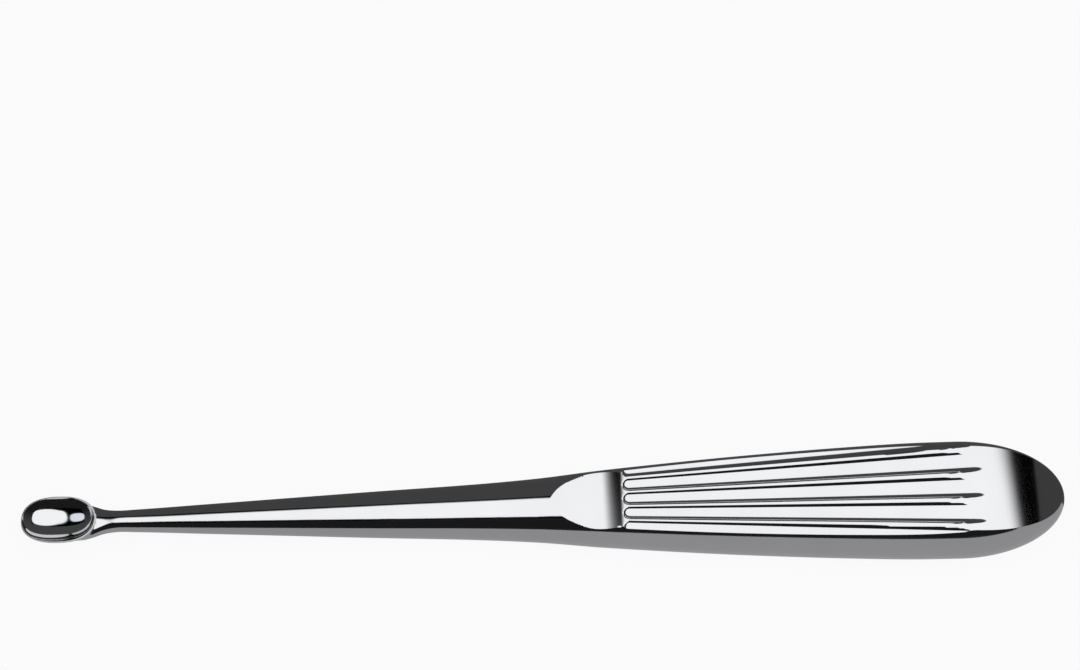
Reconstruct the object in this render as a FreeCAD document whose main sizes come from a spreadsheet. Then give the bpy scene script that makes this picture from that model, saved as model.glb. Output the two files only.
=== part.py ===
import FreeCAD, Part
import math
import os

# Cup curette: a one-piece scraping instrument of stainless steel, in millimetres.
# It is modelled along X from the tip of the cup (x = 0) to the butt of the grip,
# with the cup's mouth up, and is then laid down as it rests on a table.

doc = FreeCAD.newDocument("CupCurette")

# Driving sizes. Lengths along the instrument are measured from the tip of the cup.
SIZES = {
    # cup
    "cup_length": 12.1,
    "cup_width": 7.9,
    "cup_depth": 3.4,
    "cup_wall": 0.45,
    "rim_width": 0.25,
    "rim_height": 1.65,
    "lip_rise": 0.8,
    # web that carries the cup, drawn out of the neck
    "web_end": 7.2,
    "web_end_width": 5.6,
    "web_end_height": 2.2,
    "web_shoulder": 9.6,
    "web_shoulder_width": 6.2,
    "web_shoulder_height": 3.1,
    "web_throat": 13.2,
    "web_throat_width": 4.1,
    "web_throat_height": 3.35,
    "web_drop": 0.05,
    # round shank: narrowest at the neck, a straight taper up to the throat, then two steeper ones
    "neck": 15.6,
    "neck_diameter": 3.5,
    "shank_start": 18.5,
    "shank_start_diameter": 3.7,
    "throat": 80.0,
    "throat_diameter": 9.85,
    "flare_run": 4.0,
    "flare_diameter": 10.45,
    "swell_run": 10.0,
    "swell_diameter": 12.5,
    # pear-shaped grip: the width at its fullest, and the share of it at each station
    "grip_width": 19.3,
    "grip_flattening": 0.1,
    "grip_middle": 114.0,
    "grip_middle_share": 0.819,
    "grip_full": 134.0,
    "grip_full_share": 0.946,
    "grip_belly": 146.0,
    "grip_belly_share": 0.995,
    "dome_start": 152.6,
    "dome_start_share": 1.0,
    "dome_length": 17.4,
    # ground faces, the same above and below
    "thumb_radius": 13.6,
    "thumb_centre": 92.9,
    "thumb_floor": 3.5,
    "face_start": 98.5,
    "face_start_height": 4.7,
    "face_end": 148.5,
    "face_end_height": 6.0,
    "butt_drop": 3.9,
    # flutes that fan out along each face
    "flute_start": 100.3,
    "flute_start_pitch": 2.46,
    "flute_full": 149.0,
    "flute_full_pitch": 4.2,
    "flute_depth_share": 0.38,
    "crest_land": 0.3,
    # room that every cutting body has beyond the metal
    "cut_margin": 4.0,
}

FLUTES_EACH_SIDE = 2
OUTLINE_TOLERANCE = 0.01

sheet = doc.addObject("Spreadsheet::Sheet", "Sizes")
for row, (name, value) in enumerate(SIZES.items(), start=1):
    sheet.set(f"A{row}", name)
    sheet.set(f"B{row}", str(value))
    sheet.setAlias(f"B{row}", name)
doc.recompute()

# A section stands across the instrument: its own x runs along Y and its own y along Z.
ACROSS = FreeCAD.Rotation(FreeCAD.Vector(1, 1, 1), 120)
# A body of revolution that lies along the instrument: its own z runs along X.
ALONG = FreeCAD.Rotation(FreeCAD.Vector(0, 1, 0), 90)
# A side profile lies in the XZ plane: its own z runs along -Y.
SIDEWAYS = FreeCAD.Rotation(FreeCAD.Vector(1, 0, 0), 90)


def size(name):
    """The way an expression reads a driving size."""
    return f"Sizes.{name}"


def bind(feature, **expressions):
    """Ties properties of a feature to expressions; Base_x stands for Placement.Base.x."""
    for key, expression in expressions.items():
        path = key.replace("Base_", "Placement.Base.")
        path = path.replace("Axis_", "Placement.Rotation.Axis.").replace("Turn", "Placement.Rotation.Angle")
        feature.setExpression(path, expression)
    return feature


def add(kind, label, rotation=None, **expressions):
    """A primitive of the document with its sizes tied to the sheet."""
    feature = doc.addObject(kind, label)
    if rotation is not None:
        feature.Placement = FreeCAD.Placement(FreeCAD.Vector(), rotation)
    return bind(feature, **expressions)


def fuse(label, shapes):
    feature = doc.addObject("Part::MultiFuse", label)
    feature.Shapes = shapes
    feature.Refine = False
    return feature


def cut(label, base, tool):
    feature = doc.addObject("Part::Cut", label)
    feature.Base = base
    feature.Tool = tool
    feature.Refine = False
    return feature


def loft(label, sections):
    feature = doc.addObject("Part::Loft", label)
    feature.Sections = sections
    feature.Solid = True
    return feature


def round_section(name, station):
    """A round section at a station along the instrument."""
    return add("Part::Circle", f"{name}_section", ACROSS,
               Radius=f"{size(name + '_diameter')} / 2",
               Base_x=station)


def web_section(name, centre):
    """An oval section of the web behind the cup, centred at a height of its own."""
    return add("Part::Ellipse", f"{name}_section", ACROSS,
               MajorRadius=f"{size(name + '_width')} / 2",
               MinorRadius=f"{size(name + '_height')} / 2",
               Base_x=size(name),
               Base_z=centre)


def half_width(name):
    """Half the width of the grip at a station, a share of its fullest."""
    return f"({size('grip_width')} * {size(name + '_share')} / 2)"


def half_height(name):
    """Half the height of the grip at a station: the flattening grows with the swell."""
    swell = (f"((2 * {half_width(name)} - {size('swell_diameter')})"
             f" / ({size('grip_width')} - {size('swell_diameter')}))")
    return f"({half_width(name)} * (1 - {size('grip_flattening')} * max(0; {swell})))"


def grip_section(name):
    """An oval section of the grip."""
    return add("Part::Ellipse", f"{name}_section", ACROSS,
               MajorRadius=half_width(name),
               MinorRadius=half_height(name),
               Base_x=size(name))


# Forging: neck, shank, grip and dome, each with the section that the one before it ends in.
def web_centre(name):
    """The web's top lies just under the plane of the rim."""
    return f"{size('rim_height')} - {size('web_drop')} - {size(name + '_height')} / 2"


neck_sections = [web_section(name, web_centre(name)) for name in ("web_end", "web_shoulder", "web_throat")]
neck_sections += [round_section(name, size(name)) for name in ("neck", "shank_start")]
neck = loft("neck", neck_sections)


def taper(name, start, run, start_diameter, end_diameter):
    """A round length of the instrument that widens evenly."""
    return add("Part::Cone", f"{name}_taper", ALONG,
               Radius1=f"{size(start_diameter)} / 2",
               Radius2=f"{size(end_diameter)} / 2",
               Height=run,
               Base_x=start)


flare_end = f"{size('throat')} + {size('flare_run')}"
swell_end = f"{flare_end} + {size('swell_run')}"
shank_run = f"{size('throat')} - {size('shank_start')}"
tapers = [taper("shank", size("shank_start"), shank_run, "shank_start_diameter", "throat_diameter"),
          taper("flare", size("throat"), size("flare_run"), "throat_diameter", "flare_diameter"),
          taper("swell", flare_end, size("swell_run"), "flare_diameter", "swell_diameter")]

grip_sections = [round_section("swell", swell_end)]
grip_sections += [grip_section(name) for name in ("grip_middle", "grip_full", "grip_belly", "dome_start")]
grip = loft("grip", grip_sections)

dome = add("Part::Ellipsoid", "grip_dome",
           Radius1=half_height("dome_start"),
           Radius2=size("dome_length"),
           Radius3=half_width("dome_start"),
           Base_x=size("dome_start"))

# Cup: two ellipsoids on one centre, a little above the rim, so that the wall leans out to the lip.
outer_drop = f"({size('cup_depth')} + {size('cup_wall')} + {size('lip_rise')})"
inner_drop = f"({size('cup_depth')} + {size('lip_rise')})"
cup_centre = f"{size('cup_length')} / 2"
cup_level = f"{size('rim_height')} + {size('lip_rise')}"


def bowl(label, drop, inset):
    """An ellipsoid whose outline at the rim is the mouth of the cup less an inset."""
    spread = f"sqrt(1 - ({size('lip_rise')} / {drop})^2)"
    return add("Part::Ellipsoid", label, ACROSS,
               Radius1=f"({size('cup_length')} / 2 - {inset}) / {spread}",
               Radius2=f"({size('cup_width')} / 2 - {inset}) / {spread}",
               Radius3=drop,
               Base_x=cup_centre,
               Base_z=cup_level)


cup_back = bowl("cup_back", outer_drop, "0")
cup_hollow = bowl("cup_hollow", inner_drop, size("rim_width"))

blank = fuse("forged_blank", [neck, *tapers, grip, dome, cup_back])

# The mouth is ground flat from above, as far as the cup reaches.
mouth_cut = add("Part::Box", "mouth_cut",
                Length=f"{size('cup_length')} + {size('lip_rise')} / 2 + {size('cut_margin')}",
                Width=f"{size('cup_width')} + 2 * {size('cut_margin')}",
                Height=f"{size('lip_rise')} + {size('cup_depth')} + {size('cut_margin')}",
                Base_x=f"-{size('cut_margin')}",
                Base_y=f"-{size('cup_width')} / 2 - {size('cut_margin')}",
                Base_z=size("rim_height"))

# Thumb flat: a wheel with its axis across the grip hollows the start of the face.
wheel_width = f"({size('grip_width')} + 2 * {size('cut_margin')})"
thumb_cut = add("Part::Cylinder", "thumb_cut", SIDEWAYS,
                Radius=size("thumb_radius"),
                Height=wheel_width,
                Base_x=size("thumb_centre"),
                Base_y=f"{wheel_width} / 2",
                Base_z=f"{size('thumb_floor')} + {size('thumb_radius')}")

# Face: a plane that rises from the thumb flat to the belly of the grip.
face_run = f"({size('face_end')} - {size('face_start')})"
face_rise = f"({size('face_end_height')} - {size('face_start_height')})"
face_cut = add("Part::Box", "face_cut", FreeCAD.Rotation(FreeCAD.Vector(0, -1, 0), 1),
               Length=f"sqrt({face_run}^2 + {face_rise}^2) + {size('cut_margin')}",
               Width=wheel_width,
               Height=size("thumb_radius"),
               Base_x=size("face_start"),
               Base_y=f"-{wheel_width} / 2",
               Base_z=size("face_start_height"),
               Turn=f"atan({face_rise} / {face_run})")

# Flutes: round-bottomed grooves side by side, which fan out along the face.
# Width and depth grow together, so each groove is part of a cone whose tip lies in the face,
# and between two grooves a land of even width is left as the crest.
# The tips stand one land apart, where the pitch has shrunk to the land.
fan = doc.addObject("App::VarSet", "Fan")
for name, expression in (
        # growth of the pitch along the instrument
        ("growth", f"({size('flute_full_pitch')} - {size('flute_start_pitch')})"
                   f" / ({size('flute_full')} - {size('flute_start')})"),
        # where the grooves would end in a tip
        ("tip", f"{size('flute_start')}"
                f" - ({size('flute_start_pitch')} - {size('crest_land')}) / Fan.growth"),
        # tangents of the groove's half width and depth, seen from its tip
        ("half", "Fan.growth / 2"),
        ("depth", f"{size('flute_depth_share')} * Fan.half"),
        # tangents of the angle that the cone's axis makes with the face, and of the cone's own half angle
        ("lift", "(1 - sqrt((1 + Fan.depth^2) / (1 + Fan.half^2))) / Fan.depth"),
        ("cone", "(Fan.lift + Fan.depth) / (1 - Fan.lift * Fan.depth)"),
        # slope of the face, and its height over the tips
        ("slope", f"{face_rise} / {face_run}"),
        ("tip_height", f"{size('face_start_height')} - Fan.slope * ({size('face_start')} - Fan.tip)")):
    fan.addProperty("App::PropertyFloat", name)
    fan.setExpression(name, expression)


def flute(number, place):
    """One groove: a cone that widens along the face, and a ball that rounds its start."""
    run = f"({size('flute_full')} - Fan.tip)"
    lean = f"({place} * ({size('flute_full_pitch')} - {size('crest_land')}))"
    rise = f"(Fan.slope * {run})"
    length = f"sqrt({run}^2 + {lean}^2 + {rise}^2)"
    # The axis of the cone: the line of the groove in the face, lifted off it.
    scale = "sqrt(1 + Fan.lift^2)"
    face_scale = "sqrt(1 + Fan.slope^2)"
    axis_x = f"(({run} / {length} - Fan.lift * Fan.slope / {face_scale}) / {scale})"
    axis_y = f"({lean} / {length} / {scale})"
    axis_z = f"(({rise} / {length} + Fan.lift / {face_scale}) / {scale})"
    start = f"(({size('flute_start')} - Fan.tip) / {axis_x})"
    end = f"(({size('dome_start')} + {size('dome_length')} - Fan.tip) / {axis_x})"
    turn = {"Axis_x": f"-{axis_y} / {axis_x}", "Axis_y": "1", "Turn": f"acos({axis_z})"}
    base = {"Base_x": size("flute_start"),
            "Base_y": f"{place} * {size('crest_land')} + {start} * {axis_y}",
            "Base_z": f"Fan.tip_height + {start} * {axis_z}"}
    groove = add("Part::Cone", f"flute_{number}_groove", ALONG,
                 Radius1=f"{start} * Fan.cone",
                 Radius2=f"{end} * Fan.cone",
                 Height=f"{end} - {start}",
                 **base, **turn)
    ball = add("Part::Sphere", f"flute_{number}_ball", ALONG,
               Radius=f"{start} * Fan.cone",
               **base, **turn)
    return fuse(f"flute_{number}", [groove, ball])


flutes = []
for number, place in enumerate(range(-FLUTES_EACH_SIDE, FLUTES_EACH_SIDE + 1), start=1):
    flutes.append(flute(number, place))

# Butt: seen from the side the faces roll over to the end of the grip in a round.
butt_run = f"({size('dome_start')} + {size('dome_length')} - {size('face_end')})"
butt_radius = f"(({butt_run}^2 + {size('butt_drop')}^2) / (2 * {size('butt_drop')}))"
butt_block = add("Part::Box", "butt_block",
                 Length=f"{butt_run} + {size('cut_margin')}",
                 Width=wheel_width,
                 Height=f"{size('grip_width')} / 2 + {size('cut_margin')}",
                 Base_x=size("face_end"),
                 Base_y=f"-{wheel_width} / 2")
butt_round = add("Part::Cylinder", "butt_round", SIDEWAYS,
                 Radius=butt_radius,
                 Height=f"{wheel_width} + 2 * {size('cut_margin')}",
                 Base_x=size("face_end"),
                 Base_y=f"{wheel_width} / 2 + {size('cut_margin')}",
                 Base_z=f"{size('face_end_height')} - {butt_radius}")
butt_cut = cut("butt_cut", butt_block, butt_round)


def mirrored(tool):
    """The same cutting body for the lower face."""
    below = doc.addObject("Part::Mirroring", f"{tool.Name}_below")
    below.Source = tool
    below.Normal = FreeCAD.Vector(0, 0, 1)
    return below


# Grinding, in the order of the bench: mouth, hollow, butt, then both faces with their flutes.
with_mouth = cut("ground_mouth", blank, mouth_cut)
with_cup = cut("hollowed_cup", with_mouth, cup_hollow)
ground = with_cup
for tool in (butt_cut, thumb_cut, face_cut, *flutes):
    ground = cut(f"ground_{tool.Name}", ground, tool)
    ground = cut(f"ground_{tool.Name}_below", ground, mirrored(tool))
curette = ground
curette.Label = "cup_curette"
doc.recompute()

for item in doc.Objects:
    if "Invalid" in item.State or "Error" in item.State:
        raise SystemExit(f"{item.Name} did not build: {item.State}")
if curette.Shape.isNull() or not curette.Shape.isValid():
    raise SystemExit("cup_curette has no valid shape")

# Rest: seen from the side, the curette lies on the two low points on either side of its centre
# of mass. They are the ends of one edge of the hull under its outline.
outline = curette.Shape.tessellate(OUTLINE_TOLERANCE)[0]
hull = []
for point in sorted(outline, key=lambda vertex: (vertex.x, vertex.z)):
    while len(hull) > 1:
        edge = hull[-1] - hull[-2]
        step = point - hull[-2]
        if edge.x * step.z - edge.z * step.x > 0:
            break
        hull.pop()
    hull.append(point)
balance = curette.Shape.Solids[0].CenterOfMass.x
front = max((point for point in hull if point.x <= balance), key=lambda vertex: vertex.x)
rear = min((point for point in hull if point.x > balance), key=lambda vertex: vertex.x)
slope = math.atan2(rear.z - front.z, rear.x - front.x)
level = FreeCAD.Rotation(FreeCAD.Vector(0, 1, 0), math.degrees(slope))
resting = FreeCAD.BoundBox()
for point in outline:
    resting.add(level.multVec(point))
foot = FreeCAD.Vector(resting.Center.x, resting.Center.y, resting.ZMin)
curette.Placement = FreeCAD.Placement(-foot, level)
shape = curette.Shape
print("rests on", front, rear, "tilt", math.degrees(slope), "size", resting)
print("solids", len(shape.Solids), "faces", len(shape.Faces), "volume", shape.Volume)

os.makedirs("parts", exist_ok=True)
shape.exportStep("parts/cup_curette.step")
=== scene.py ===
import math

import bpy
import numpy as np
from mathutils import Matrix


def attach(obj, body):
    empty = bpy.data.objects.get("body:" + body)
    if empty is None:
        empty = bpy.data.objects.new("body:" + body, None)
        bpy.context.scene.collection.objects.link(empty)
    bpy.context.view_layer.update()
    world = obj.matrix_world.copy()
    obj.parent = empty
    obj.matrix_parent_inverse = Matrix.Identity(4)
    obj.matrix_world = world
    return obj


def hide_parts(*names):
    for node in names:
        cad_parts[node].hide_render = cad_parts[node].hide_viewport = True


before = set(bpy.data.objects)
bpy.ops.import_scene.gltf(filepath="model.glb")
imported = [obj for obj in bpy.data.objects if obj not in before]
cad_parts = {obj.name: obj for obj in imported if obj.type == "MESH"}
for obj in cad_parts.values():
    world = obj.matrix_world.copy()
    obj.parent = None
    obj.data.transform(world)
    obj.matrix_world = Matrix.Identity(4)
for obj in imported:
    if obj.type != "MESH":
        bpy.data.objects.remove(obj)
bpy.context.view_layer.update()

# %% [markdown]
# The imported part is loaded first and never moved. Everything below is worked out in millimetres
# along the instrument, from the tip of the cup (x = 0) to the butt of the grip (x = 170), and only
# the finished mesh is laid down at rest and turned into metres.

LENGTH = 170.0
MM = 0.001


# %% [markdown]
# The blank of the real instrument is forged, then turned and ground to a long taper: a thin
# neck, a round shank and a pear-shaped grip. A few measured stations carry that outline, and
# a smooth curve runs through them. A curve through few stations is what a smith works to,
# and it gives a cleaner reflection than many measured points would.

# %% The forged outline
def smooth_curve(stations):
    """A smooth function through (station, value) pairs; each slope comes from the neighbours."""
    at, values = np.array(stations, float).T
    slopes = np.gradient(values, at)

    def value(x):
        x = np.clip(np.asarray(x, float), at[0], at[-1])
        i = np.clip(np.searchsorted(at, x) - 1, 0, len(at) - 2)
        step = at[i + 1] - at[i]
        t = (x - at[i]) / step
        return ((1 + 2 * t) * (1 - t) ** 2 * values[i] + t * (1 - t) ** 2 * step * slopes[i]
                + t * t * (3 - 2 * t) * values[i + 1] - t * t * (1 - t) * step * slopes[i + 1])

    return value


DOME_START = 152.6
DOME_LENGTH = 17.4
GRIP_HALF = 9.65
GRIP_FLAT = 0.1

blank_half = smooth_curve([(7.2, 2.8), (9.6, 3.1), (11.6, 2.6), (13.2, 2.05), (15.6, 1.75), (18.5, 1.85),
                           (30, 2.42), (55, 3.67), (80, 4.92), (84, 5.22), (94, 6.25),
                           (104, 7.12), (114, 7.9), (124, 8.56), (134, 9.12), (146, 9.6), (152.6, 9.65)])
web_height = smooth_curve([(7.2, 1.1), (9.6, 1.55), (13.2, 1.68), (15.6, 1.75), (18.5, 1.85)])
web_centre = smooth_curve([(7.2, 0.5), (9.6, 0.05), (13.2, -0.08), (15.6, 0.0), (18.5, 0.0)])
SWELL_START = 94.0


def dome_share(x):
    """How much of the full section is left at a station of the domed butt."""
    return np.sqrt(np.clip(1 - (np.clip(x - DOME_START, 0, None) / DOME_LENGTH) ** 2, 0, 1))


def skin_half(x):
    return blank_half(x) * dome_share(x)


def skin_height(x):
    first = blank_half(SWELL_START)
    swell = np.clip((blank_half(x) - first) / (GRIP_HALF - first), 0, 1)
    round_height = blank_half(x) * (1 - GRIP_FLAT * swell) * dome_share(x)
    return np.where(x < 18.5, web_height(x), round_height)


def skin_centre(x):
    return np.where(x < 18.5, web_centre(x), 0.0)


for station in (20, 80, 150):
    print("blank at", station, "mm:", round(float(2 * skin_half(station)), 2), "mm wide")


# %% [markdown]
# The grip is then ground on both sides alike. The thumb flat is a shallow valley between two
# slopes, a plane rises from it to the belly, flat-bottomed flutes fan out along the plane,
# and the butt rolls over in a round. The lowest of these surfaces is the one the grinder leaves,
# so the face is a height over length and width. A soft minimum keeps the crests slightly
# rounded, as polishing does.

# %% The ground face
THUMB = {"centre": 93.2, "floor": 3.95, "bend": 2.2, "slope_before": 0.3, "slope_after": 0.22}
FACE = {"start": 98.5, "start_height": 4.7, "end": 148.5, "end_height": 6.0}
BUTT_DROP = 3.9
FLUTE = {"start": 98.9, "start_pitch": 2.41, "full": 149.0, "full_pitch": 4.2,
         "half_share": 0.42, "depth_share": 0.15, "flatness": 5}
SHANK_END = 82.0
NOTHING = 60.0


def soft_min(a, b, width):
    """The lower of two heights, with the corner between them rounded over a width."""
    near = np.clip(width - np.abs(a - b), 0, None) / width
    return np.minimum(a, b) - near * near * width / 4


def plane_height(x):
    rise = (FACE["end_height"] - FACE["start_height"]) / (FACE["end"] - FACE["start"])
    return FACE["start_height"] + rise * (x - FACE["start"])


def pitch(x):
    share = (x - FLUTE["start"]) / (FLUTE["full"] - FLUTE["start"])
    return FLUTE["start_pitch"] + share * (FLUTE["full_pitch"] - FLUTE["start_pitch"])


def face_height(x, y):
    """Height of the ground face over the middle plane of the instrument."""
    away = x - THUMB["centre"]
    slope = np.where(away < 0, THUMB["slope_before"], THUMB["slope_after"])
    valley = THUMB["floor"] + slope * (np.sqrt(away ** 2 + THUMB["bend"] ** 2) - THUMB["bend"])
    face = np.where(x < SHANK_END, NOTHING, valley)
    plane = np.where(x > FACE["start"] - 3, plane_height(x), NOTHING)
    face = soft_min(face, plane, 0.15)
    wide = pitch(np.maximum(x, FLUTE["start"]))
    before = np.clip(FLUTE["start"] - x, 0, None)
    for place in range(-2, 3):
        across = np.hypot(y - place * wide, before) / (FLUTE["half_share"] * wide)
        depth = FLUTE["depth_share"] * wide * (1 - across ** FLUTE["flatness"])
        bottom = np.where(across < 1.3, plane_height(x) - depth, NOTHING)
        face = soft_min(face, bottom, 0.12)
    run = LENGTH - FACE["end"]
    radius_over = (run ** 2 + BUTT_DROP ** 2) / (2 * BUTT_DROP)
    over = np.clip(x - FACE["end"], 0, None)
    butt = FACE["end_height"] - radius_over + np.sqrt(radius_over ** 2 - over ** 2)
    return soft_min(face, np.where(x > FACE["end"], butt, NOTHING), 0.12)


def skin_top(x, y):
    return skin_centre(x) + skin_height(x) * np.sqrt(np.clip(1 - (y / skin_half(x)) ** 2, 0, 1))


print("face at 125 mm: crest", round(float(face_height(125.0, 0.5 * pitch(125.0))), 2),
      "floor", round(float(face_height(125.0, 0.0)), 2))


# %% [markdown]
# The mesh of the neck, shank and grip is a stack of rings, one for each station. Each ring
# has the same columns: a span over the top, a side, a span below and the other side. On the
# grip the spans end exactly where the face meets the skin, and their columns fan out with the
# flutes, so every crest and every ground edge lies along the mesh instead of across it.

# %% Columns of a ring
def flute_columns(steps, shoulder):
    """Places across the face, in pitches: three whole flutes and a shoulder on each side."""
    t = np.linspace(-1, 1, steps + 1)
    across = 0.5 * (0.55 * t + 0.45 * np.sin(t * math.pi / 2))
    inner = np.concatenate([across[:-1] - 1, across[:-1], across + 1])
    edge = np.linspace(0, 1, shoulder + 1)[1:]
    return inner, edge


def span(columns, half, x):
    """Y of the columns of a span at station x, from +half to -half."""
    inner, edge = columns
    last = np.minimum(1.5 * pitch(np.maximum(x, 60.0)), 0.9 * half)
    outer = last + edge * (half - last)
    return np.concatenate([outer[::-1], inner[::-1] / 1.5 * last, -outer])


TOP_COLUMNS = flute_columns(28, 9)
LOW_COLUMNS = flute_columns(18, 5)
SIDE_STEPS = 26


def edge_half(x):
    """Half width of the top span: where the face meets the skin, or a plain share of the width."""
    low, high = 0.0, float(skin_half(x))
    if face_height(x, 0.0) < skin_top(x, 0.0):
        for _ in range(40):
            middle = (low + high) / 2
            if skin_top(x, middle) > face_height(x, middle):
                low = middle
            else:
                high = middle
    least = 0.73 if x < 150 else 0.3
    return max(low, least * float(skin_half(x)))


def ring(x):
    """The ring of points at a station of the neck, shank or grip."""
    half = edge_half(x)
    top_y = span(TOP_COLUMNS, half, x)
    low_y = span(LOW_COLUMNS, half, x)[::-1]
    blend = 0.06 if x < 91 else 0.02
    corner = np.array([half])
    meets = abs(float(skin_top(x, half) - face_height(x, half))) < 1e-3

    def heights(y):
        if meets:
            return np.minimum(skin_top(x, y), face_height(x, y))
        return soft_min(skin_top(x, y), face_height(x, y), blend)

    centre = float(skin_centre(x))
    lift = float(skin_top(x, corner)[0]) - centre
    angle = math.asin(min(lift / float(skin_height(x)), 1.0))
    turn = np.linspace(angle, -angle, SIDE_STEPS + 1)[1:-1]
    side_y = float(skin_half(x)) * np.cos(turn)
    side_z = centre + float(skin_height(x)) * np.sin(turn)
    y = np.concatenate([top_y, -side_y, low_y, side_y[::-1]])
    z = np.concatenate([heights(top_y), side_z, 2 * centre - heights(low_y), side_z[::-1]])
    return np.stack([np.full(len(y), x), y, z], axis=1)


COLUMNS = len(ring(60.0))
print("columns in a ring:", COLUMNS)


# %% [markdown]
# The stations stand close together where the surface changes quickly: at the thumb flat, at
# the rounded starts of the flutes and towards the end of the butt. Along the plain shank they
# can be far apart, because it is straight.

# %% Stations along the instrument
NECK_START = 16.0


def spread(start, end, step):
    return list(np.linspace(start, end, max(int(round((end - start) / step)), 1), endpoint=False))


stations = (spread(NECK_START, 30, 1.0) + spread(30, 84, 2.0) + spread(84, 97.8, 0.14)
            + spread(97.8, 102, 0.12) + spread(102, 148, 0.8) + spread(148, 160, 0.4))
stations += [160 + (LENGTH - 160) * math.sin(t * math.pi / 2) for t in np.linspace(0, 1, 46)[:-1]]
print("stations:", len(stations), "so about", 2 * len(stations) * COLUMNS, "triangles")


# %% [markdown]
# The cup and the web behind it were forged with the rest, so the blank simply runs on: a
# half-egg for the back of the cup, and an oval web that flares out of the neck into it. Both
# are measured from one point inside them, and the farther of the two is the surface. A soft
# maximum gives the fillet that the die leaves between them.

# %% Blank of the cup
CUP = {"length": 12.1, "width": 7.9, "outer_depth": 3.85, "inner_depth": 2.1, "rim_width": 0.16,
       "rim_height": 1.65, "outer_rise": 0.8, "inner_rise": 2.5}
FULLNESS = 2.4
CUP_MIDDLE = CUP["length"] / 2
CUP_LEVEL = CUP["rim_height"] + CUP["outer_rise"]


def bowl(depth, rise_over_rim, inset):
    """Half axes of the egg whose outline at the rim is the mouth of the cup less an inset."""
    drop = depth + rise_over_rim
    rise = rise_over_rim / drop
    along = (1 - rise ** FULLNESS) ** (1 / FULLNESS)
    across = math.sqrt(1 - rise ** 2)
    return (CUP["length"] / 2 - inset) / along, (CUP["width"] / 2 - inset) / across, drop


OUTER = bowl(CUP["outer_depth"], CUP["outer_rise"], 0.0)
INNER = bowl(CUP["inner_depth"], CUP["inner_rise"], CUP["rim_width"])


def egg_share(along):
    """How much of an egg's full section is left at a share of its half length."""
    return max(1 - abs(along) ** FULLNESS, 0.0) ** (1 / FULLNESS)


def far_side(centre, way, half, height, level):
    """Distance from a point on the middle plane to the far side of an oval, or nothing."""
    a = (way[:, 0] / half) ** 2 + (way[:, 1] / height) ** 2
    b = (centre - level) * way[:, 1] / height ** 2
    c = ((centre - level) / height) ** 2 - 1
    room = b * b - a * c
    return np.where(room > 0, np.clip((-b + np.sqrt(np.clip(room, 0, None))) / a, 0, None), 0.0)


def soft_max(a, b, width):
    near = np.clip(width - np.abs(a - b), 0, None) / width
    return np.maximum(a, b) + near * near * width / 4


def ease(x, start, end):
    t = min(max((x - start) / (end - start), 0.0), 1.0)
    return t * t * (3 - 2 * t)


def cup_ring(x, ways):
    """The ring of the uncut blank at a station of the cup or the web."""
    level = CUP_LEVEL + (1.2 - CUP_LEVEL) * ease(x, 6.0, 7.4)
    level += (0.0 - level) * ease(x, 11.0, NECK_START)
    share = egg_share((x - CUP_MIDDLE) / OUTER[0])
    reach = np.zeros(len(ways))
    if share > 1e-4:
        reach = far_side(level, ways, OUTER[1] * share, OUTER[2] * share, CUP_LEVEL)
    if x > 7.2:
        web = far_side(level, ways, float(skin_half(x)), float(skin_height(x)), float(skin_centre(x)))
        reach = soft_max(reach, web, 0.35) if share > 1e-4 else web
    return np.stack([np.full(len(ways), x), reach * ways[:, 0], level + reach * ways[:, 1]], axis=1)


neck_ring = ring(NECK_START)
WAYS = neck_ring[:, 1:] / np.linalg.norm(neck_ring[:, 1:], axis=1)[:, None]
cup_turns = np.cos(np.linspace(0, math.pi * 0.93, 64)[1:])
cup_stations = [CUP_MIDDLE - OUTER[0] * math.copysign(abs(t) ** (2 / FULLNESS), t) for t in cup_turns]
cup_stations += spread(cup_stations[-1], NECK_START, 0.22)[1:]
print("cup:", round(2 * OUTER[0], 2), "mm long before its mouth is ground")


# %% [markdown]
# Rings become faces by joining each to the next. One helper does it for both ends of the
# instrument. It closes an end with a point where the metal comes to one, as at the butt, and
# with a flat face where the piece is going to be joined on.

# %% Rings to mesh
def mesh_of_rings(name, rings, start_point=None, end_point=None):
    points = np.concatenate(rings)
    count = len(rings[0])
    faces = []
    for row in range(len(rings) - 1):
        a, b = row * count, (row + 1) * count
        for j in range(count):
            k = (j + 1) % count
            faces.append((a + j, b + j, b + k, a + k))
    points = [tuple(p) for p in points]
    last = (len(rings) - 1) * count
    if start_point is None:
        faces.append(tuple(range(count)))
    else:
        points.append(start_point)
        faces += [(len(points) - 1, j, (j + 1) % count) for j in range(count)]
    if end_point is None:
        faces.append(tuple(last + j for j in reversed(range(count))))
    else:
        points.append(end_point)
        faces += [(last + (j + 1) % count, last + j, len(points) - 1) for j in range(count)]
    mesh = bpy.data.meshes.new(name)
    mesh.from_pydata(points, [], faces)
    mesh.validate()
    thing = bpy.data.objects.new(name, mesh)
    bpy.context.collection.objects.link(thing)
    return thing


cup_rings = [cup_ring(x, WAYS) for x in cup_stations] + [neck_ring]
cup_end = mesh_of_rings("cup_end", cup_rings, start_point=(CUP_MIDDLE - OUTER[0], 0.0, CUP_LEVEL))
body = mesh_of_rings("cup_curette_steel", [ring(x) for x in stations], end_point=(LENGTH, 0.0, 0.0))
print("cup end faces:", len(cup_end.data.polygons), "body faces:", len(body.data.polygons))


# %% [markdown]
# The mouth is ground flat and the cup is hollowed out of the blank. Boolean modifiers with
# the exact solver do just that, and leave a true flat land on the rim between two crisp
# edges, which is what makes a curette cut. The cutters are thrown away afterwards.

# %% Grinding the mouth and hollowing the cup
import bmesh


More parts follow.
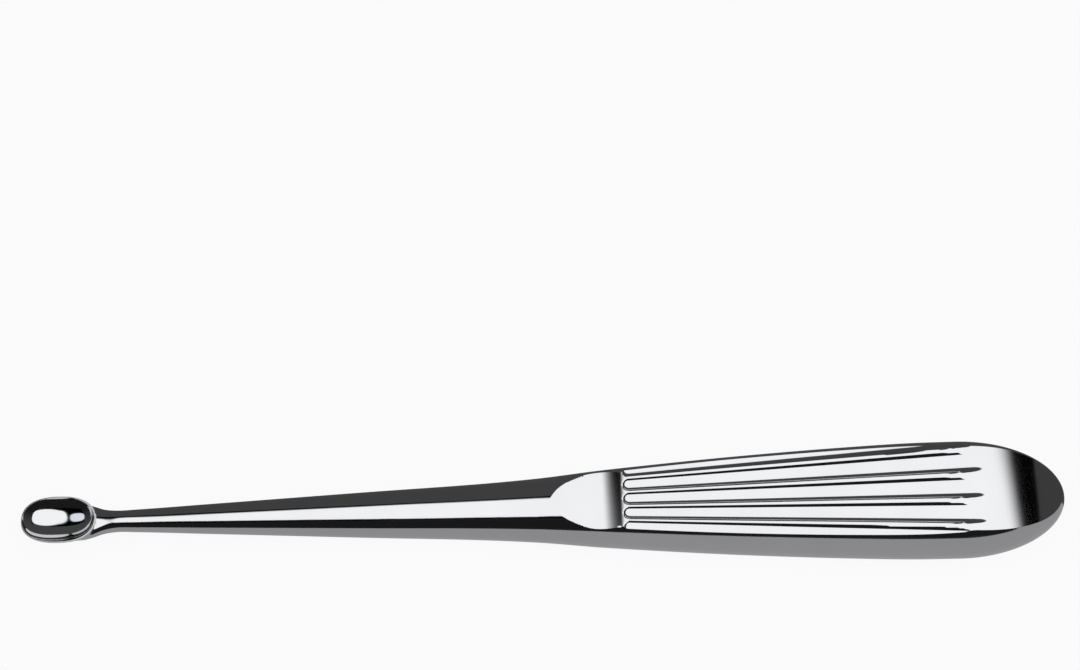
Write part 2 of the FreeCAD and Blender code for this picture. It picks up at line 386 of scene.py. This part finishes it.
def egg(name, half_axes, centre, around, along):
    """A closed egg whose poles lie along X, out of the way of the mouth."""
    form = bmesh.new()
    bmesh.ops.create_uvsphere(form, u_segments=around, v_segments=along, radius=1.0)
    for vert in form.verts:
        x, y, z = vert.co
        along = math.copysign(abs(z) ** (2 / FULLNESS), z)
        share = egg_share(along) / max(math.hypot(x, y), 1e-9)
        vert.co = (centre[0] + along * half_axes[0],
                   centre[1] + x * share * half_axes[1],
                   centre[2] + y * share * half_axes[2])
    bmesh.ops.recalc_face_normals(form, faces=form.faces)
    mesh = bpy.data.meshes.new(name)
    form.to_mesh(mesh)
    form.free()
    thing = bpy.data.objects.new(name, mesh)
    bpy.context.collection.objects.link(thing)
    return thing


def block(name, low, high):
    form = bmesh.new()
    bmesh.ops.create_cube(form, size=1.0)
    for vert in form.verts:
        vert.co = [l + (h - l) * (c + 0.5) for c, l, h in zip(vert.co, low, high)]
    mesh = bpy.data.meshes.new(name)
    form.to_mesh(mesh)
    form.free()
    thing = bpy.data.objects.new(name, mesh)
    bpy.context.collection.objects.link(thing)
    return thing


def carve(thing, cutter):
    """Takes the cutter out of a piece for good, and removes the cutter."""
    step = thing.modifiers.new(cutter.name, "BOOLEAN")
    step.operation = "DIFFERENCE"
    step.solver = "EXACT"
    step.object = cutter
    view = bpy.context.evaluated_depsgraph_get()
    mesh = bpy.data.meshes.new_from_object(thing.evaluated_get(view))
    thing.modifiers.clear()
    thing.data = mesh
    bpy.data.objects.remove(cutter)


carve(cup_end, block("mouth", (-4, -9, CUP["rim_height"]), (12.55, 9, 12)))
carve(cup_end, egg("hollow", INNER, (CUP_MIDDLE, 0, CUP["rim_height"] + CUP["inner_rise"]), 160, 128))
print("cup end after grinding:", len(cup_end.data.polygons), "faces")


# %% [markdown]
# The two ends are one forging, so their meshes become one: the flat faces between them are
# taken away and the points of the shared ring are welded. The finished mesh is then laid down
# the way the instrument rests on a table, on the heel of the shank and on the end of its lower
# face, with the middle of its outline over the origin.

# %% One piece of steel, laid down
REST_TILT = math.radians(-0.5286)


def join_ends(main, other):
    form = bmesh.new()
    for part in (main, other):
        form.from_mesh(part.data)
    inner = [f for f in form.faces if all(abs(v.co.x - NECK_START) < 1e-4 for v in f.verts)]
    bmesh.ops.delete(form, geom=inner, context="FACES_ONLY")
    bmesh.ops.remove_doubles(form, verts=form.verts, dist=1e-4)
    bmesh.ops.dissolve_degenerate(form, edges=form.edges, dist=1e-5)
    bmesh.ops.recalc_face_normals(form, faces=form.faces)
    open_edges = sum(1 for e in form.edges if not e.is_manifold)
    form.to_mesh(main.data)
    form.free()
    bpy.data.objects.remove(other)
    return open_edges


def lay_down(thing):
    """Turns the mesh to its resting tilt, centres it over the origin and makes it metres."""
    points = np.empty(len(thing.data.vertices) * 3)
    thing.data.vertices.foreach_get("co", points)
    points = points.reshape(-1, 3)
    x = points[:, 0] * math.cos(REST_TILT) + points[:, 2] * math.sin(REST_TILT)
    z = points[:, 2] * math.cos(REST_TILT) - points[:, 0] * math.sin(REST_TILT)
    shift = ((x.min() + x.max()) / 2, z.min())
    placed = np.stack([x - shift[0], points[:, 1], z - shift[1]], axis=1) * MM
    thing.data.vertices.foreach_set("co", placed.ravel())
    thing.data.update()
    return shift


open_edges = join_ends(body, cup_end)
SHIFT = lay_down(body)
body.data.polygons.foreach_set("use_smooth", [True] * len(body.data.polygons))
body.data.set_sharp_from_angle(angle=math.radians(24))
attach(body, "root")
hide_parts("cup_curette")
print("open edges:", open_edges, "resting shift:", SHIFT)


# %% [markdown]
# Surgical steel of this kind is mirror polished after grinding. It still has fine lines that
# run along the instrument, faint clouds where the mop dwelt, and brighter worn edges. The
# lines and clouds are built once as a node group that puts out roughness and a height.

# %% Polished steel
def new_group(name, inputs, outputs):
    group = bpy.data.node_groups.new(name, "ShaderNodeTree")
    for label, value in inputs:
        socket = group.interface.new_socket(label, in_out="INPUT", socket_type="NodeSocketFloat")
        socket.default_value = value
    for label in outputs:
        group.interface.new_socket(label, in_out="OUTPUT", socket_type="NodeSocketFloat")
    return group, group.nodes.new("NodeGroupInput"), group.nodes.new("NodeGroupOutput")


def polish_group():
    """Fine lines along the instrument and soft clouds across it."""
    group, ins, outs = new_group("polish_lines", [("Line Scale", 1.0), ("Roughness", 0.08), ("Cloud", 0.03)],
                                 ["Roughness", "Height", "Mask"])
    nodes, links = group.nodes, group.links
    where = nodes.new("ShaderNodeTexCoord")
    stretch = nodes.new("ShaderNodeMapping")
    stretch.inputs["Scale"].default_value = (0.02, 1.0, 1.0)
    scale = nodes.new("ShaderNodeMath")
    scale.operation = "MULTIPLY"
    scale.inputs[1].default_value = 9000.0
    lines = nodes.new("ShaderNodeTexNoise")
    lines.inputs["Detail"].default_value = 3.0
    clouds = nodes.new("ShaderNodeTexNoise")
    clouds.inputs["Scale"].default_value = 120.0
    clouds.inputs["Detail"].default_value = 4.0
    vary = nodes.new("ShaderNodeMath")
    vary.operation = "SUBTRACT"
    vary.inputs[1].default_value = 0.5
    amount = nodes.new("ShaderNodeMath")
    amount.operation = "MULTIPLY"
    total = nodes.new("ShaderNodeMath")
    total.operation = "ADD"
    links.new(where.outputs["Object"], stretch.inputs["Vector"])
    links.new(stretch.outputs["Vector"], lines.inputs["Vector"])
    links.new(where.outputs["Object"], clouds.inputs["Vector"])
    links.new(ins.outputs["Line Scale"], scale.inputs[0])
    links.new(scale.outputs[0], lines.inputs["Scale"])
    links.new(clouds.outputs["Fac"], vary.inputs[0])
    links.new(vary.outputs[0], amount.inputs[0])
    links.new(ins.outputs["Cloud"], amount.inputs[1])
    links.new(amount.outputs[0], total.inputs[0])
    links.new(ins.outputs["Roughness"], total.inputs[1])
    links.new(total.outputs[0], outs.inputs["Roughness"])
    links.new(lines.outputs["Fac"], outs.inputs["Height"])
    links.new(clouds.outputs["Fac"], outs.inputs["Mask"])
    return group


POLISH = polish_group()


def steel(name, colour, roughness):
    material = bpy.data.materials.new(name)
    material.use_nodes = True
    nodes, links = material.node_tree.nodes, material.node_tree.links
    surface = nodes["Principled BSDF"]
    surface.inputs["Metallic"].default_value = 1.0
    grain = nodes.new("ShaderNodeGroup")
    grain.node_tree = POLISH
    grain.inputs["Roughness"].default_value = roughness
    tint = nodes.new("ShaderNodeMix")
    tint.data_type = "RGBA"
    tint.inputs["A"].default_value = (*[c * 0.95 for c in colour], 1)
    tint.inputs["B"].default_value = (*[c * 1.05 for c in colour], 1)
    bump = nodes.new("ShaderNodeBump")
    bump.inputs["Strength"].default_value = 0.12
    bump.inputs["Distance"].default_value = 0.000004
    links.new(grain.outputs["Mask"], tint.inputs["Factor"])
    links.new(tint.outputs["Result"], surface.inputs["Base Color"])
    links.new(grain.outputs["Roughness"], surface.inputs["Roughness"])
    links.new(grain.outputs["Height"], bump.inputs["Height"])
    links.new(bump.outputs["Normal"], surface.inputs["Normal"])
    return material


body.data.materials.clear()
body.data.materials.append(steel("polished_steel_skin", (0.62, 0.62, 0.63), 0.07))
print("material:", body.data.materials[0].name)


# %% [markdown]
# The steel is a mirror, so most of what it shows is the room. Its upper edge shows a dark room
# behind, its lower side a grey table in front, and the photo's plain white ground was put in
# afterwards. So the floor is white for the camera, and two thin sheets lie on it that only the
# steel sees: a dark one behind the instrument and a grey one in front of it.

# %% Floor and the sheets of painted reflection that the steel sees
def sheet_of(name, low, high, height, material):
    mesh = bpy.data.meshes.new(name)
    corners = [(low[0], low[1], height), (high[0], low[1], height), (high[0], high[1], height),
               (low[0], high[1], height)]
    mesh.from_pydata(corners, [], [(0, 1, 2, 3)])
    thing = bpy.data.objects.new(name, mesh)
    bpy.context.collection.objects.link(thing)
    mesh.materials.append(material)
    return thing


def floor_material():
    """White floor: most of it shows as plain white, the rest takes the shadow of the object."""
    material = bpy.data.materials.new("white_floor")
    material.use_nodes = True
    nodes, links = material.node_tree.nodes, material.node_tree.links
    surface = nodes["Principled BSDF"]
    surface.inputs["Base Color"].default_value = (0.8, 0.8, 0.8, 1)
    surface.inputs["Roughness"].default_value = 0.9
    surface.inputs["Specular IOR Level"].default_value = 0.0
    glow = nodes.new("ShaderNodeEmission")
    rays = nodes.new("ShaderNodeLightPath")
    seen = nodes.new("ShaderNodeMath")
    seen.operation = "ADD"
    seen.use_clamp = True
    through = nodes.new("ShaderNodeMath")
    through.operation = "ADD"
    through.use_clamp = True
    share = nodes.new("ShaderNodeMath")
    share.operation = "MULTIPLY"
    share.inputs[1].default_value = 0.93
    mix = nodes.new("ShaderNodeMixShader")
    links.new(rays.outputs["Is Camera Ray"], seen.inputs[0])
    links.new(rays.outputs["Is Glossy Ray"], seen.inputs[1])
    links.new(seen.outputs[0], through.inputs[0])
    links.new(rays.outputs["Is Transmission Ray"], through.inputs[1])
    links.new(through.outputs[0], share.inputs[0])
    links.new(share.outputs[0], mix.inputs["Fac"])
    links.new(surface.outputs["BSDF"], mix.inputs[1])
    links.new(glow.outputs["Emission"], mix.inputs[2])
    links.new(mix.outputs["Shader"], nodes["Material Output"].inputs["Surface"])
    return material


def plain_glow(name, level):
    """A surface of one even brightness."""
    material = bpy.data.materials.new(name)
    material.use_nodes = True
    nodes, links = material.node_tree.nodes, material.node_tree.links
    glow = nodes.new("ShaderNodeEmission")
    glow.inputs["Color"].default_value = (level, level, level * 1.02, 1)
    links.new(glow.outputs["Emission"], nodes["Material Output"].inputs["Surface"])
    return material


def only_for_steel(thing):
    """Leaves a sheet to be seen in reflections only."""
    thing.visible_camera = False
    thing.visible_diffuse = False
    thing.visible_shadow = False
    return thing


floor = sheet_of("floor", (-0.7, -0.5), (0.7, 0.7), 0.0, floor_material())
SHEET_LIFT = 0.00002
dark_level = 0.075
grey_level = 0.4
# Painted reflection: both sheets glow at one fixed brightness and are hidden from the camera, from other
# surfaces and from shadows, so only the steel mirrors them. The dark sheet paints the shade behind the
# instrument into the steel, and the grey sheet paints a lit grey table in front of it.
only_for_steel(sheet_of("painted_shade_sheet", (-0.7, 0.0), (0.7, 0.7), SHEET_LIFT, plain_glow("painted_shade_card", dark_level)))
only_for_steel(sheet_of("painted_table_sheet", (-0.7, -0.5), (0.7, 0.0), SHEET_LIFT, plain_glow("painted_table_card", grey_level)))
print("floor:", tuple(round(v, 2) for v in floor.dimensions))


# %% [markdown]
# The soft box hangs over the table as one big cloth with round corners. Light behind a cloth is
# never even: it is crisp at the near edge and fades slowly towards the far one. A second,
# cooler light stands far to the left, and only the cup shows it. The steel is a mirror for all
# of this, so the pattern of brightness is worked out from the cloth's own coordinates.

# %% Soft box and room
CLOTH = {"height": 0.8, "left": -1.3, "right": 0.8, "near": -0.85, "far": 0.5}
BOX = {"middle": (0.2, -0.17), "half": (0.53, 0.6), "near_softness": 0.05, "far_softness": 0.16}
SIDE_LIGHT = {"middle": (-0.85, -0.05), "half": (0.45, 0.3), "softness": 0.12}
ROUNDNESS = 3
BOX_LIGHT = 1.42
SIDE_LEVEL = 1.2


class Sums:
    """Short ways to write sums in a material."""

    def __init__(self, tree):
        self.nodes, self.links = tree.nodes, tree.links

    def do(self, operation, *values, clamp=False):
        node = self.nodes.new("ShaderNodeMath")
        node.operation = operation
        node.use_clamp = clamp
        for socket, value in zip(node.inputs, values):
            if isinstance(value, (int, float)):
                socket.default_value = value
            else:
                self.links.new(value, socket)
        return node.outputs[0]

    def fade(self, distance, softness):
        """1 well inside an edge, 0 well outside it, with a soft step between."""
        t = self.do("ADD", self.do("DIVIDE", distance, softness), 0.5, clamp=True)
        return self.do("MULTIPLY", self.do("MULTIPLY", t, t), self.do("SUBTRACT", 3, self.do("MULTIPLY", t, 2)))


def oval(sums, x, y, middle, half):
    """0 in the middle of an oval with round corners, 1 at its outline, and more outside."""
    parts = []
    for at, centre, reach in zip((x, y), middle, half):
        away = sums.do("ABSOLUTE", sums.do("DIVIDE", sums.do("SUBTRACT", at, centre), reach))
        parts.append(sums.do("POWER", away, ROUNDNESS))
    return sums.do("POWER", sums.do("ADD", *parts), 1 / ROUNDNESS)


def cloth_material():
    material = bpy.data.materials.new("soft_box_cloth")
    material.use_nodes = True
    tree = material.node_tree
    sums = Sums(tree)
    where = tree.nodes.new("ShaderNodeTexCoord")
    parts = tree.nodes.new("ShaderNodeSeparateXYZ")
    tree.links.new(where.outputs["Object"], parts.inputs["Vector"])
    x, y = parts.outputs["X"], parts.outputs["Y"]
    behind = sums.fade(y, 0.4)
    softness = sums.do("MULTIPLY", behind, BOX["far_softness"] - BOX["near_softness"])
    softness = sums.do("ADD", softness, BOX["near_softness"])
    box = sums.fade(sums.do("SUBTRACT", 1, oval(sums, x, y, BOX["middle"], BOX["half"])), softness)
    side_edge = sums.do("SUBTRACT", 1, oval(sums, x, y, SIDE_LIGHT["middle"], SIDE_LIGHT["half"]))
    side = sums.fade(side_edge, SIDE_LIGHT["softness"])
    level = sums.do("ADD", sums.do("MULTIPLY", box, BOX_LIGHT), sums.do("MULTIPLY", side, SIDE_LEVEL))
    tint = tree.nodes.new("ShaderNodeMix")
    tint.data_type = "RGBA"
    tint.inputs["A"].default_value = (0.985, 0.99, 1.0, 1)
    tint.inputs["B"].default_value = (0.88, 0.92, 1.0, 1)
    glow = tree.nodes.new("ShaderNodeEmission")
    tree.links.new(side, tint.inputs["Factor"])
    tree.links.new(tint.outputs["Result"], glow.inputs["Color"])
    tree.links.new(level, glow.inputs["Strength"])
    tree.links.new(glow.outputs["Emission"], tree.nodes["Material Output"].inputs["Surface"])
    return material


def room_world(behind, before):
    """A dark room, a little less dark behind the instrument than in front of it."""
    world = bpy.data.worlds.new("dark_room")
    world.use_nodes = True
    tree = world.node_tree
    sums = Sums(tree)
    where = tree.nodes.new("ShaderNodeTexCoord")
    parts = tree.nodes.new("ShaderNodeSeparateXYZ")
    tree.links.new(where.outputs["Generated"], parts.inputs["Vector"])
    share = sums.fade(parts.outputs["Y"], 1.2)
    level = sums.do("ADD", sums.do("MULTIPLY", share, behind - before), before)
    tree.links.new(level, tree.nodes["Background"].inputs["Strength"])
    tree.nodes["Background"].inputs["Color"].default_value = (0.98, 0.99, 1.0, 1)
    bpy.context.scene.world = world


cloth = sheet_of("soft_box_cloth", (CLOTH["left"], CLOTH["near"]), (CLOTH["right"], CLOTH["far"]),
                 CLOTH["height"], cloth_material())
room_world(dark_level, 0.015)
print("soft box cloth:", tuple(round(v, 2) for v in cloth.dimensions))


# %% [markdown]
# The camera looks down on the instrument from the side of its lower edge, almost from above,
# with a long lens. The instrument lies low in the frame because the camera is aimed at a
# point behind it.

# %% Camera
ELEVATION = math.radians(66.5)
AZIMUTH = math.radians(-1.3555)
DISTANCE = 0.42814
AIM = (0.000175, 0.030997, 0.006)

lens = bpy.data.cameras.new("camera")
lens.lens = 85
lens.sensor_width = 36
camera = bpy.data.objects.new("camera", lens)
away = (math.sin(AZIMUTH) * math.cos(ELEVATION), -math.cos(AZIMUTH) * math.cos(ELEVATION), math.sin(ELEVATION))
camera.location = [a + DISTANCE * d for a, d in zip(AIM, away)]
camera.rotation_euler = (math.radians(90) - ELEVATION, 0, AZIMUTH)
bpy.context.collection.objects.link(camera)
bpy.context.scene.camera = camera
bpy.context.scene.view_settings.view_transform = "Standard"
print("camera at", tuple(round(v, 3) for v in camera.location))
